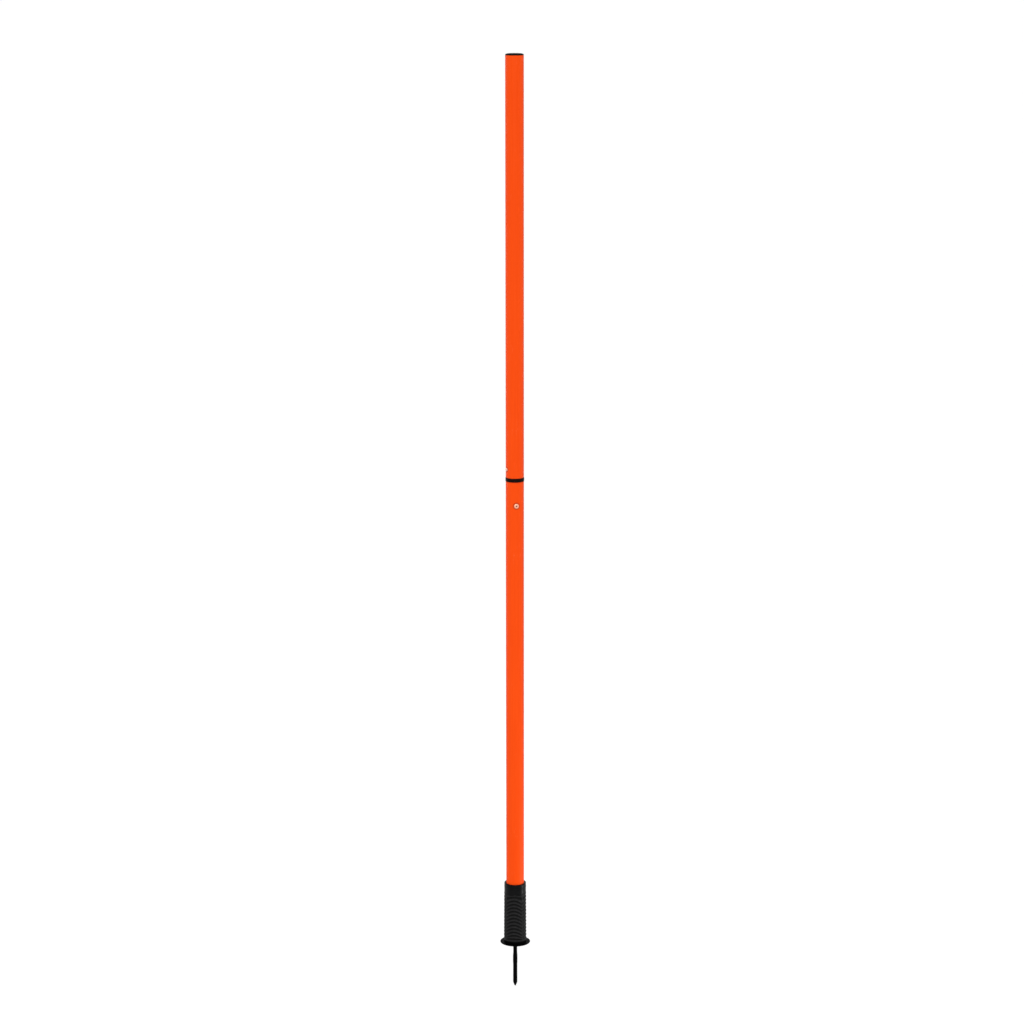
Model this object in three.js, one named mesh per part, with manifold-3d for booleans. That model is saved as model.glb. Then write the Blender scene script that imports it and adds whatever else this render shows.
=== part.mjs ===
import * as THREE from 'three';
import { mergeVertices } from 'three/addons/utils/BufferGeometryUtils.js';
import Module from 'manifold-3d';

// Slalom pole: a two-piece plastic pole on a sprung, rubber-covered foot with a screw-in ground spike.
// Millimetres, +Z up. The origin is on the pole's axis at the underside of the foot plate, which is
// the height of the ground. The front of the pole faces -Y, and azimuths turn from there towards +X.

const wasm = await Module();
wasm.setup();

// Clearances between pieces
const fitGap = 0.3;
const seatGap = 0.1;
const cutOverrun = 2;

// Pole tubes
const poleDiameter = 32;
const poleWall = 1.8;
const lowerTubeLength = 760.5;
const upperTubeLength = 731.3;

// Foot plate
const plateDiameter = 54;
const plateThickness = 1.5;

// Hub, which seats the spring and holds the spike's locknut
const hubRadius = 19.8;
const hubFlangeHeight = 4;
const hubEdgeRound = 0.8;
const hubShoulderHeight = 4;
const hubStubHeight = 10;
const hubFloorThickness = 5;

// Spike
const spikeDepth = 85;
const spikeNeckRadius = 3.6;
const spikeNeckDepth = 19.4;
const spikeSwellRadius = 4.1;
const spikeSwellStart = 28.1;
const spikeSwellEnd = 39;
const spikeShankRadius = 3.85;
const spikeShankStart = 44;
const spikePointLength = 8.7;
const spikeTipRadius = 1.1;
const spikeTipRound = 0.6;
const spikeThreadProud = 1.5;

// Locknut and washer
const nutAcrossFlats = 13;
const nutHeight = 6.5;
const nutCornerChamfer = 0.7;
const washerRadius = 7.5;
const washerThickness = 1.6;

// Flex spring
const springLength = 75.3;
const springInnerRadius = 10;
const springWireRadius = 1.9;
const springPitch = 4.6;

// Tube plug, the spring's upper anchor
const plugShoulderHeight = 7.8;
const plugStubHeight = 10;
const plugBodyHeight = 40;
const plugBoreRadius = 4;
const plugChamfer = 1;

// Cross pin through the tube and its plug
const pinRadius = 2;
const pinWall = 0.7;
const pinSlot = 0.8;
const pinHeightInTube = 10.5;
const pinEndInset = 0.4;

// Rubber sleeve
const sleeveTubeOverlap = 20.7;
const sleeveCuffRadius = 19.6;
const sleeveCuffHeight = 20.2;
const sleeveLipRound = 0.5;
const sleeveBeadRadius = 20.7;
const sleeveBeadHeight = 2.2;
const sleeveBeadRound = 0.6;
const sleeveRibRadius = 20;
const sleeveGrooveDepth = 0.9;
const sleeveRibCount = 13;
const sleevePanelCount = 4;
const sleevePanelTurnDegrees = -7;
const sleeveArchDrop = 8;
const footFadeRibs = 2;
const cuffFadeRibs = 1;
const laneFacetShare = 0.9;

// Joint between the two tubes
const couplerWall = 2;
const couplerLowerReach = 60;
const couplerUpperReach = 65;
const couplerChamfer = 0.8;
const collarProud = 0.45;
const collarHeight = 6.5;
const collarRound = 0.9;

// Blind rivet that holds the coupler in the lower tube
const rivetAzimuthDegrees = 9.9;
const rivetDropBelowCollar = 42.1;
const rivetHeadRadius = 4.75;
const rivetHeadHeight = 1.5;
const rivetHeadRim = 0.4;
const rivetShankRadius = 2.4;
const rivetBoreRadius = 1.4;
const rivetBulbRadius = 3.5;
const rivetBulbLength = 4;
const rivetTailLength = 1.2;
const mandrelStemRadius = 1.15;
const mandrelHeadRadius = 2;
const mandrelHeadLength = 1.6;
const mandrelRecess = 0.9;

// Snap button that locks the upper tube
const buttonAzimuthDegrees = -63.5;
const buttonRiseAboveCollar = 15.2;
const buttonRadius = 3.2;
const buttonProud = 1.5;
const buttonDomeHeight = 1.1;
const buttonFlangeRadius = 4.5;
const buttonFlangeThickness = 0.8;

// Leaf spring behind the button
const leafThickness = 0.6;
const leafWidth = 8;
const leafRiseAboveButton = 5;
const leafDropBelowButton = 30;

// Top cap
const capCrownHeight = 2.9;
const capCornerRound = 2.1;
const capSkirtDepth = 15;
const capSkirtWall = 1.5;
const capSkirtChamfer = 0.8;
const capBarbCount = 2;
const capBarbProud = 0.2;
const capBarbHeight = 1.6;
const capBarbShare = 0.35;

// Facets
const tubeSides = 40;
const plateSides = 40;
const smallSides = 20;
const holeSides = 16;
const hexSides = 6;
const sleeveSides = 40;
const roundSteps = 2;
const rimSteps = 4;
const springSidesPerTurn = 12;
const wireHalfSides = 3;
const arcSteps = 6;
const checkStepsPerTurn = 24;

// Radii that follow from the sizes above
const poleRadius = poleDiameter / 2;
const poleBoreRadius = poleRadius - poleWall;
const insertRadius = poleBoreRadius - fitGap;
const couplerBoreRadius = insertRadius - couplerWall;
const stubRadius = springInnerRadius - fitGap;
const springMeanRadius = (springInnerRadius + springWireRadius) / Math.cos(Math.PI / springSidesPerTurn);
const springBoreRadius = springMeanRadius + springWireRadius + fitGap;
const hubShoulderRadius = springBoreRadius - fitGap;
const threadBoreRadius = spikeNeckRadius + fitGap;
const nutCornerRadius = nutAcrossFlats / 2 / Math.cos(Math.PI / hexSides);
const nutPocketRadius = Math.max(nutCornerRadius, washerRadius) + fitGap;
const plugShoulderRadius = poleRadius - fitGap;
const sleeveTubeBoreRadius = poleRadius + fitGap;

// Heights that follow from the sizes above, from the ground up
const hubBottom = plateThickness + seatGap;
const hubFlangeTop = hubBottom + hubFlangeHeight;
const hubShoulderTop = hubFlangeTop + hubShoulderHeight;
const hubStubTop = hubShoulderTop + hubStubHeight;
const nutPocketFloor = hubBottom + hubFloorThickness;
const washerBottom = nutPocketFloor + seatGap;
const nutBottom = washerBottom + washerThickness + seatGap;
const spikeTop = nutBottom + nutHeight + spikeThreadProud;
const springBottom = hubShoulderTop + seatGap;
const springTop = springBottom + springLength;
const plugShoulderBottom = springTop + seatGap;
const plugShoulderTop = plugShoulderBottom + plugShoulderHeight;
const lowerTubeBottom = plugShoulderTop + seatGap;
const lowerTubeTop = lowerTubeBottom + lowerTubeLength;
const pinHeight = lowerTubeBottom + pinHeightInTube;
const collarBottom = lowerTubeTop + seatGap;
const collarTop = collarBottom + collarHeight;
const upperTubeBottom = collarTop + seatGap;
const upperTubeTop = upperTubeBottom + upperTubeLength;
const capBottom = upperTubeTop + seatGap;
const capTop = capBottom + capCrownHeight;
const sleeveBottom = hubFlangeTop + seatGap;
const sleeveTop = lowerTubeBottom + sleeveTubeOverlap;
const cuffBottom = sleeveTop - sleeveCuffHeight;
const beadTop = sleeveBottom + sleeveBeadHeight;
const rivetHeight = collarBottom - rivetDropBelowCollar;
const buttonHeight = collarTop + buttonRiseAboveCollar;

// Finishes
const orangePlastic = new THREE.MeshStandardMaterial({ color: 0xfa4d12, roughness: 0.42, metalness: 0 });
const blackPlastic = new THREE.MeshStandardMaterial({ color: 0x0b0b0c, roughness: 0.45, metalness: 0 });
const blackRubber = new THREE.MeshStandardMaterial({ color: 0x1d1d1e, roughness: 0.75, metalness: 0 });
const blackPaint = new THREE.MeshStandardMaterial({ color: 0x070707, roughness: 0.35, metalness: 0.2 });
const greyNylon = new THREE.MeshStandardMaterial({ color: 0x3a3a3c, roughness: 0.55, metalness: 0 });
const zincSteel = new THREE.MeshStandardMaterial({ color: 0xb9bcc0, roughness: 0.35, metalness: 0.9 });
const springSteel = new THREE.MeshStandardMaterial({ color: 0x8b8d91, roughness: 0.4, metalness: 0.9 });
const rivetAluminium = new THREE.MeshStandardMaterial({ color: 0xcfcfd2, roughness: 0.35, metalness: 0.9 });

// A profile is a list of [radius, height] points, from below to above on the outside.
function turned(profile, sides) {
  const points = profile.map(([radius, height]) => new THREE.Vector2(radius, height));
  const geometry = new THREE.LatheGeometry(points, sides);
  geometry.rotateX(Math.PI / 2);
  return geometry;
}

// The points of a round in a profile, about its centre, from one angle to another
function round(centreRadius, centreHeight, size, fromAngle, toAngle, steps) {
  const points = [];
  for (let step = 0; step <= steps; step += 1) {
    const angle = fromAngle + ((toAngle - fromAngle) * step) / steps;
    points.push([centreRadius + size * Math.cos(angle), centreHeight + size * Math.sin(angle)]);
  }
  return points;
}

// A ring between two radii and two heights, as a profile that closes on itself
function ringProfile(innerRadius, outerRadius, bottom, top) {
  return [
    [innerRadius, bottom],
    [outerRadius, bottom],
    [outerRadius, top],
    [innerRadius, top],
    [innerRadius, bottom],
  ];
}

function named(name, geometry, material) {
  const mesh = new THREE.Mesh(geometry, material);
  mesh.name = name;
  return mesh;
}

// The closed solid inside a geometry, without the slivers that a lathe makes on its axis
function solidOf(geometry) {
  const bare = geometry.index ? geometry.clone() : mergeVertices(geometry);
  bare.deleteAttribute('normal');
  bare.deleteAttribute('uv');
  const merged = mergeVertices(bare);
  const corners = merged.index.array;
  const kept = [];
  for (let i = 0; i < corners.length; i += 3) {
    const [a, b, c] = [corners[i], corners[i + 1], corners[i + 2]];
    if (a !== b && b !== c && c !== a) {
      kept.push(a, b, c);
    }
  }
  return new wasm.Manifold(new wasm.Mesh({
    numProp: 3,
    vertProperties: new Float32Array(merged.attributes.position.array),
    triVerts: new Uint32Array(kept),
  }));
}

function geometryOf(solid) {
  const mesh = solid.getMesh();
  const geometry = new THREE.BufferGeometry();
  geometry.setAttribute('position', new THREE.BufferAttribute(new Float32Array(mesh.vertProperties), 3));
  geometry.setIndex(new THREE.BufferAttribute(new Uint32Array(mesh.triVerts), 1));
  return geometry;
}

function cutFrom(geometry, cutters) {
  const solid = cutters.reduce((left, cutter) => left.subtract(solidOf(cutter)), solidOf(geometry));
  return geometryOf(solid);
}

// The turn about the pole's axis that brings local +X to an azimuth
function turnTo(azimuthDegrees) {
  return THREE.MathUtils.degToRad(azimuthDegrees) - Math.PI / 2;
}

// A drill along local +X at a height, between two distances from the axis, turned to an azimuth
function drill(radius, from, to, height, azimuthDegrees) {
  const length = to - from;
  const geometry = new THREE.CylinderGeometry(radius, radius, length, holeSides);
  geometry.rotateZ(Math.PI / 2);
  geometry.translate(from + length / 2, 0, height);
  geometry.rotateZ(turnTo(azimuthDegrees));
  return geometry;
}

// A piece turned on a lathe whose axis points out of the pole at an azimuth and height
function outwardTurned(name, profile, height, azimuthDegrees, material) {
  const geometry = turned(profile, smallSides);
  geometry.rotateY(Math.PI / 2);
  const mesh = named(name, geometry, material);
  mesh.position.z = height;
  mesh.rotation.z = turnTo(azimuthDegrees);
  return mesh;
}

function lowerTube() {
  const wall = turned(ringProfile(poleBoreRadius, poleRadius, lowerTubeBottom, lowerTubeTop), tubeSides);
  const outside = poleRadius + cutOverrun;
  const rivetHole = drill(rivetShankRadius + fitGap, 0, outside, rivetHeight, rivetAzimuthDegrees);
  const pinHole = drill(pinRadius + fitGap, -outside, outside, pinHeight, 0);
  return named('lower_tube', cutFrom(wall, [rivetHole, pinHole]), orangePlastic);
}

function upperTube() {
  const wall = turned(ringProfile(poleBoreRadius, poleRadius, upperTubeBottom, upperTubeTop), tubeSides);
  const outside = poleRadius + cutOverrun;
  const buttonHole = drill(buttonRadius + fitGap, 0, outside, buttonHeight, buttonAzimuthDegrees);
  return named('upper_tube', cutFrom(wall, [buttonHole]), orangePlastic);
}

function couplerTube() {
  const bottom = lowerTubeTop - couplerLowerReach;
  const top = upperTubeBottom + couplerUpperReach;
  const profile = [
    [couplerBoreRadius, bottom],
    [insertRadius - couplerChamfer, bottom],
    [insertRadius, bottom + couplerChamfer],
    [insertRadius, top - couplerChamfer],
    [insertRadius - couplerChamfer, top],
    [couplerBoreRadius, top],
    [couplerBoreRadius, bottom],
  ];
  const rivetHole = drill(rivetShankRadius + fitGap, 0, poleRadius, rivetHeight, rivetAzimuthDegrees);
  const buttonHole = drill(buttonRadius + fitGap, 0, poleRadius, buttonHeight, buttonAzimuthDegrees);
  return named('coupler_tube', cutFrom(turned(profile, tubeSides), [rivetHole, buttonHole]), greyNylon);
}

function couplerCollar() {
  const inner = insertRadius + fitGap;
  const outer = poleRadius + collarProud;
  const profile = [
    [inner, collarBottom],
    ...round(outer - collarRound, collarBottom + collarRound, collarRound, -Math.PI / 2, 0, roundSteps),
    ...round(outer - collarRound, collarTop - collarRound, collarRound, 0, Math.PI / 2, roundSteps),
    [inner, collarTop],
    [inner, collarBottom],
  ];
  return named('coupler_collar', turned(profile, tubeSides), blackPlastic);
}

// The rivet's profiles run along its own axis, where a height is a distance from the pole's axis.
function couplerRivet() {
  const seat = poleRadius + seatGap;
  const bulbOuter = couplerBoreRadius - fitGap;
  const bulbInner = bulbOuter - rivetBulbLength;
  const tail = bulbInner - rivetTailLength;
  const crown = seat + rivetHeadHeight;
  const profile = [
    [rivetBoreRadius, tail],
    [rivetShankRadius, tail],
    [rivetShankRadius, bulbInner],
    [rivetBulbRadius, bulbInner + rivetBulbLength / 3],
    [rivetBulbRadius, bulbOuter - rivetBulbLength / 3],
    [rivetShankRadius, bulbOuter],
    [rivetShankRadius, seat],
    [rivetHeadRadius, seat],
    [rivetHeadRadius, seat + rivetHeadRim],
    [(rivetHeadRadius + rivetShankRadius) / 2, crown - rivetHeadRim / 2],
    [rivetShankRadius, crown],
    [rivetBoreRadius, crown],
    [rivetBoreRadius, tail],
  ];
  return outwardTurned('coupler_rivet', profile, rivetHeight, rivetAzimuthDegrees, rivetAluminium);
}

function rivetMandrel() {
  const crown = poleRadius + seatGap + rivetHeadHeight;
  const tail = couplerBoreRadius - fitGap - rivetBulbLength - rivetTailLength - seatGap;
  const profile = [
    [0, tail - mandrelHeadLength],
    [mandrelHeadRadius / 2, tail - mandrelHeadLength],
    [mandrelHeadRadius, tail - mandrelHeadLength / 2],
    [mandrelHeadRadius, tail],
    [mandrelStemRadius, tail],
    [mandrelStemRadius, crown - mandrelRecess],
    [0, crown - mandrelRecess],
  ];
  return outwardTurned('rivet_mandrel', profile, rivetHeight, rivetAzimuthDegrees, zincSteel);
}

// The button's flange lies flat behind the coupler's curved wall, so its edges set how far out it sits.
function buttonFlangeFace() {
  return Math.sqrt(couplerBoreRadius ** 2 - buttonFlangeRadius ** 2) - fitGap;
}

function snapButton() {
  const face = buttonFlangeFace();
  const crown = poleRadius + buttonProud;
  const profile = [
    [0, face - buttonFlangeThickness],
    [buttonFlangeRadius, face - buttonFlangeThickness],
    [buttonFlangeRadius, face],
    [buttonRadius, face],
    [buttonRadius, crown - buttonDomeHeight],
  ];
  for (let step = 1; step < rimSteps; step += 1) {
    const angle = (step / rimSteps) * (Math.PI / 2);
    profile.push([buttonRadius * Math.cos(angle), crown - buttonDomeHeight * (1 - Math.sin(angle))]);
  }
  profile.push([0, crown]);
  return outwardTurned('snap_button', profile, buttonHeight, buttonAzimuthDegrees, zincSteel);
}

// A bent strip: one leg backs the button, the other leans on the far wall, and a bend joins them below.
function buttonSpring() {
  const nearFace = buttonFlangeFace() - buttonFlangeThickness - seatGap;
  const farFace = fitGap - Math.sqrt(couplerBoreRadius ** 2 - (leafWidth / 2) ** 2);
  const centre = (nearFace + farFace) / 2;
  const bendRadius = (nearFace - farFace) / 2;
  const legTop = leafRiseAboveButton;
  const bendHeight = bendRadius - leafDropBelowButton;
  const shape = new THREE.Shape();
  shape.moveTo(centre + bendRadius, legTop);
  shape.lineTo(centre + bendRadius - leafThickness, legTop);
  shape.lineTo(centre + bendRadius - leafThickness, bendHeight);
  shape.absarc(centre, bendHeight, bendRadius - leafThickness, 0, -Math.PI, true);
  shape.lineTo(centre - bendRadius + leafThickness, legTop);
  shape.lineTo(centre - bendRadius, legTop);
  shape.lineTo(centre - bendRadius, bendHeight);
  shape.absarc(centre, bendHeight, bendRadius, Math.PI, Math.PI * 2, false);
  shape.closePath();
  const geometry = new THREE.ExtrudeGeometry(shape, {
    depth: leafWidth,
    steps: 1,
    curveSegments: arcSteps,
    bevelEnabled: false,
  });
  geometry.translate(0, 0, -leafWidth / 2);
  geometry.rotateX(Math.PI / 2);
  const mesh = named('button_spring', geometry, springSteel);
  mesh.position.z = buttonHeight;
  mesh.rotation.z = turnTo(buttonAzimuthDegrees);
  return mesh;
}

function topCap() {
  const skirtInner = insertRadius - capSkirtWall;
  const skirtBottom = capBottom - capSkirtDepth;
  const barbCentre = skirtBottom + capSkirtDepth * capBarbShare;
  const rimCentre = poleRadius - capCornerRound;
  const profile = [
    [0, capBottom],
    [skirtInner, capBottom],
    [skirtInner, skirtBottom],
    [insertRadius - capSkirtChamfer, skirtBottom],
    [insertRadius, skirtBottom + capSkirtChamfer],
  ];
  for (let barb = 0; barb < capBarbCount; barb += 1) {
    const start = barbCentre + barb * capBarbHeight * 2;
    profile.push([insertRadius, start]);
    profile.push([insertRadius + capBarbProud, start + capBarbHeight]);
    profile.push([insertRadius, start + capBarbHeight]);
  }
  profile.push([insertRadius, capBottom]);
  profile.push([poleRadius, capBottom]);
  profile.push(...round(rimCentre, capTop - capCornerRound, capCornerRound, 0, Math.PI / 2, rimSteps));
  profile.push([0, capTop]);
  return named('top_cap', turned(profile, tubeSides), blackPlastic);
}

function tubePlug() {
  const stubBottom = plugShoulderBottom - plugStubHeight;
  const bodyTop = plugShoulderTop + plugBodyHeight;
  const profile = [
    [plugBoreRadius, stubBottom],
    [stubRadius - plugChamfer, stubBottom],
    [stubRadius, stubBottom + plugChamfer],
    [stubRadius, plugShoulderBottom],
    [plugShoulderRadius, plugShoulderBottom],
    [plugShoulderRadius, plugShoulderTop],
    [insertRadius, plugShoulderTop],
    [insertRadius, bodyTop - plugChamfer],
    [insertRadius - plugChamfer, bodyTop],
    [plugBoreRadius, bodyTop],
    [plugBoreRadius, stubBottom],
  ];
  const outside = poleRadius + cutOverrun;
  const pinHole = drill(pinRadius + fitGap, -outside, outside, pinHeight, 0);
  return named('tube_plug', cutFrom(turned(profile, tubeSides), [pinHole]), zincSteel);
}

// A rolled spring pin: a C-shaped section with a slot along its length
function plugPin() {
  const inner = pinRadius - pinWall;
  const outerSlotAngle = Math.asin(pinSlot / 2 / pinRadius);
  const innerSlotAngle = Math.asin(pinSlot / 2 / inner);
  const shape = new THREE.Shape();
  shape.absarc(0, 0, pinRadius, outerSlotAngle, Math.PI * 2 - outerSlotAngle, false);
  shape.absarc(0, 0, inner, Math.PI * 2 - innerSlotAngle, innerSlotAngle, true);
  shape.closePath();
  const length = poleDiameter - 2 * pinEndInset;
  const geometry = new THREE.ExtrudeGeometry(shape, {
    depth: length,
    steps: 1,
    curveSegments: holeSides,
    bevelEnabled: false,
  });
  geometry.translate(0, 0, -length / 2);
  geometry.rotateX(Math.PI / 2);
  const mesh = named('plug_pin', geometry, springSteel);
  mesh.position.z = pinHeight;
  return mesh;
}

class SpringCurve extends THREE.Curve {
  constructor(radius, bottom, pitch, turns) {
    super();
    this.radius = radius;
    this.bottom = bottom;
    this.pitch = pitch;
    this.turns = turns;
  }

  getPoint(share, target = new THREE.Vector3()) {
    const turn = share * this.turns;
    const angle = turn * Math.PI * 2;
    return target.set(
      this.radius * Math.cos(angle),
      this.radius * Math.sin(angle),
      this.bottom + turn * this.pitch,
    );
  }
}

// The least distance between the wire's surfaces in neighbouring turns
function leastTurnGap(curve, turns) {
  const steps = Math.ceil(turns * checkStepsPerTurn);
  const points = [];
  for (let step = 0; step <= steps; step += 1) {
    points.push(curve.getPoint(step / steps));
  }
  let least = Infinity;
  for (let i = 0; i < points.length; i += 1) {
    for (let j = i + checkStepsPerTurn / 2; j < points.length; j += 1) {
      least = Math.min(least, points[i].distanceTo(points[j]));
    }
  }
  return least - 2 * springWireRadius;
}

function flexSpring() {
  const turns = (springLength - 2 * springWireRadius) / springPitch;
  const curve = new SpringCurve(springMeanRadius, springBottom + springWireRadius, springPitch, turns);
  console.log(`least gap between the spring's turns: ${leastTurnGap(curve, turns).toFixed(2)} mm`);
  const section = new THREE.Shape();
  section.absarc(0, 0, springWireRadius, 0, Math.PI * 2, false);
  const geometry = new THREE.ExtrudeGeometry(section, {
    steps: Math.round(turns * springSidesPerTurn),
    curveSegments: wireHalfSides,
    bevelEnabled: false,
    extrudePath: curve,
  });
  return named('flex_spring', geometry, springSteel);
}

// Each row of the sleeve's skin is a closed loop round the pole, given by its radius and height at an angle.
function looped(rows, sides) {
  const positions = [];
  const triangles = [];
  rows.forEach((row, level) => {
    const next = (level + 1) % rows.length;
    for (let side = 0; side < sides; side += 1) {
      const angle = (side / sides) * Math.PI * 2;
      const [radius, height] = row(angle);
      positions.push(radius * Math.cos(angle), radius * Math.sin(angle), height);
      const after = (side + 1) % sides;
      const [a, b] = [level * sides + side, level * sides + after];
      const [c, d] = [next * sides + after, next * sides + side];
      triangles.push(a, b, c, a, c, d);
    }
  });
  const geometry = new THREE.BufferGeometry();
  geometry.setAttribute('position', new THREE.Float32BufferAttribute(positions, 3));
  geometry.setIndex(triangles);
  return geometry;
}

function level(radius, height) {
  return () => [radius, height];
}

// Ribs arch over each of the sleeve's panels, and a plain upright lane divides one panel from the next.
// The arches flatten over a few ribs towards the foot and the cuff.
function gripSleeve() {
  const panelAngle = (Math.PI * 2) / sleevePanelCount;
  const laneHalfAngle = (Math.PI / sleeveSides) * laneFacetShare;
  const panelStart = turnTo(sleevePanelTurnDegrees);
  const ribBandBottom = beadTop;
  const ribBandHeight = cuffBottom - ribBandBottom;
  const ribPitch = ribBandHeight / sleeveRibCount;

  // From -1 at one lane, through 0 at the crown, to 1 at the next lane
  function acrossPanel(angle) {
    const turns = (angle - panelStart) / panelAngle;
    return (turns - Math.round(turns)) * 2;
  }

  function archedRow(height, depth) {
    const footFade = (height - ribBandBottom) / (footFadeRibs * ribPitch);
    const cuffFade = (cuffBottom - height) / (cuffFadeRibs * ribPitch);
    const fade = Math.min(1, footFade, cuffFade);
    return (angle) => {
      const across = acrossPanel(angle);
      const onLane = (1 - Math.abs(across)) * (panelAngle / 2) < laneHalfAngle;
      return [
        sleeveRibRadius - (onLane ? 0 : depth),
        height - sleeveArchDrop * across ** 2 * fade,
      ];
    };
  }

  const rows = [
    level(sleeveBeadRadius - sleeveBeadRound, sleeveBottom),
    level(sleeveBeadRadius, sleeveBottom + sleeveBeadRound),
    level(sleeveBeadRadius, beadTop - sleeveBeadRound),
    level(sleeveRibRadius, beadTop),
  ];
  for (let rib = 0; rib < sleeveRibCount; rib += 1) {
    const grooveHeight = ribBandBottom + (rib + 1 / 2) * ribPitch;
    const crestHeight = ribBandBottom + (rib + 1) * ribPitch;
    rows.push(archedRow(grooveHeight, sleeveGrooveDepth));
    rows.push(archedRow(crestHeight, 0));
  }
  rows.push(
    level(sleeveCuffRadius, cuffBottom + ribPitch / 4),
    level(sleeveCuffRadius, sleeveTop - sleeveLipRound),
    level(sleeveCuffRadius - sleeveLipRound, sleeveTop),
    level(sleeveTubeBoreRadius, sleeveTop),
    level(sleeveTubeBoreRadius, plugShoulderBottom),
    level(springBoreRadius, plugShoulderBottom - (sleeveTubeBoreRadius - springBoreRadius)),
    level(springBoreRadius, sleeveBottom),
  );
  return named('grip_sleeve', looped(rows, sleeveSides), blackRubber);
}

function baseHub() {
  const profile = [
    [threadBoreRadius, hubBottom],
    [hubRadius - hubEdgeRound, hubBottom],
    [hubRadius, hubBottom + hubEdgeRound],
    [hubRadius, hubFlangeTop - hubEdgeRound],
    [hubRadius - hubEdgeRound, hubFlangeTop],
    [hubShoulderRadius, hubFlangeTop],
    [hubShoulderRadius, hubShoulderTop],
    [stubRadius, hubShoulderTop],
    [stubRadius, hubStubTop],
    [nutPocketRadius, hubStubTop],
    [nutPocketRadius, nutPocketFloor],
    [threadBoreRadius, nutPocketFloor],
    [threadBoreRadius, hubBottom],
  ];
  return named('base_hub', turned(profile, tubeSides), blackPaint);
}

function footPlate() {
  const rimRound = plateThickness / 2;
  const rimCentre = plateDiameter / 2 - rimRound;
  const profile = [
    [threadBoreRadius, 0],
    ...round(rimCentre, rimRound, rimRound, -Math.PI / 2, Math.PI / 2, rimSteps),
    [threadBoreRadius, plateThickness],
    [threadBoreRadius, 0],
  ];
  return named('foot_plate', turned(profile, plateSides), blackPaint);
}

function groundSpike() {
  const profile = [
    [0, -spikeDepth],
    [spikeTipRadius, spikeTipRound - spikeDepth],
    [spikeShankRadius, spikePointLength - spikeDepth],
    [spikeShankRadius, -spikeShankStart],
    [spikeSwellRadius, -spikeSwellEnd],
    [spikeSwellRadius, -spikeSwellStart],
    [spikeNeckRadius, -spikeNeckDepth],
    [spikeNeckRadius, spikeTop],
    [0, spikeTop],
  ];
  return named('ground_spike', turned(profile, smallSides), blackPaint);
}

function lockWasher() {
  const profile = ringProfile(threadBoreRadius, washerRadius, washerBottom, washerBottom + washerThickness);
  return named('lock_washer', turned(profile, smallSides), zincSteel);
}

// A hexagon whose corners are turned down at both ends
function lockNut() {
  const hexagon = new THREE.Shape();
  for (let corner = 0; corner < hexSides; corner += 1) {
    const angle = (corner / hexSides) * Math.PI * 2;
    const [x, y] = [nutCornerRadius * Math.cos(angle), nutCornerRadius * Math.sin(angle)];
    if (corner === 0) {
      hexagon.moveTo(x, y);
    } else {
      hexagon.lineTo(x, y);
    }
  }
  hexagon.closePath();
  const bore = new THREE.Path();
  bore.absarc(0, 0, threadBoreRadius, 0, Math.PI * 2, true);
  hexagon.holes.push(bore);
  const prism = new THREE.ExtrudeGeometry(hexagon, {
    depth: nutHeight,
    steps: 1,
    curveSegments: holeSides,
    bevelEnabled: false,
  });
  const turnedDown = nutCornerRadius - nutCornerChamfer;
  const envelope = turned([
    [0, 0],
    [turnedDown, 0],
    [nutCornerRadius + cutOverrun, (nutCornerChamfer + cutOverrun) / 2],
    [nutCornerRadius + cutOverrun, nutHeight - (nutCornerChamfer + cutOverrun) / 2],
    [turnedDown, nutHeight],
    [0, nutHeight],
  ], smallSides);
  const mesh = named('lock_nut', geometryOf(solidOf(prism).intersect(solidOf(envelope))), zincSteel);
  mesh.position.z = nutBottom;
  return mesh;
}

const slalomPole = new THREE.Group();
slalomPole.add(
  groundSpike(),
  footPlate(),
  baseHub(),
  lockWasher(),
  lockNut(),
  flexSpring(),
  gripSleeve(),
  tubePlug(),
  plugPin(),
  lowerTube(),
  couplerTube(),
  couplerCollar(),
  couplerRivet(),
  rivetMandrel(),
  buttonSpring(),
  snapButton(),
  upperTube(),
  topCap(),
);

export default slalomPole;
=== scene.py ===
import math

import bpy
from mathutils import Matrix, Vector

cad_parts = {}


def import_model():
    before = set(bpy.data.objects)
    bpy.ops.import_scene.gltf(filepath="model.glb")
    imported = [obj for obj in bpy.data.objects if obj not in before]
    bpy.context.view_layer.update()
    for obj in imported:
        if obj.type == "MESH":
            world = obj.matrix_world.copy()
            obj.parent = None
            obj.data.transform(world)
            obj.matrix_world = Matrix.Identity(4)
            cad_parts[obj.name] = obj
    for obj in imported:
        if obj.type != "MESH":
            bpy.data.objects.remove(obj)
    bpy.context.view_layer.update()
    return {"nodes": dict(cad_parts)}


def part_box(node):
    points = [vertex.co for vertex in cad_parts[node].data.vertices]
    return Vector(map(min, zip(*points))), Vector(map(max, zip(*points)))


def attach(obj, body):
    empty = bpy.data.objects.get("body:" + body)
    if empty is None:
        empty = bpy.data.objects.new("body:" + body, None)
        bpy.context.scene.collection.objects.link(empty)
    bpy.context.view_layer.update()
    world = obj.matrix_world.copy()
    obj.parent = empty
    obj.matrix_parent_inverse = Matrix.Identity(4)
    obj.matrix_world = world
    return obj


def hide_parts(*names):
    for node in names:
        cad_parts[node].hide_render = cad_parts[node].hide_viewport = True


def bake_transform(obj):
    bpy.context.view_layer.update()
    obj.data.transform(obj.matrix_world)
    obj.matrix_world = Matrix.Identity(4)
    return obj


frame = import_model()

# Slalom pole. Metres, +Z up, origin on the pole's axis at ground height. The front faces -Y, and
# azimuths turn from there towards +X.
MM = 0.001
TURN = 2 * math.pi
QUARTER = math.pi / 2
CLEARANCE = 0.3 * MM
SEAT_GAP = 0.1 * MM

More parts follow.
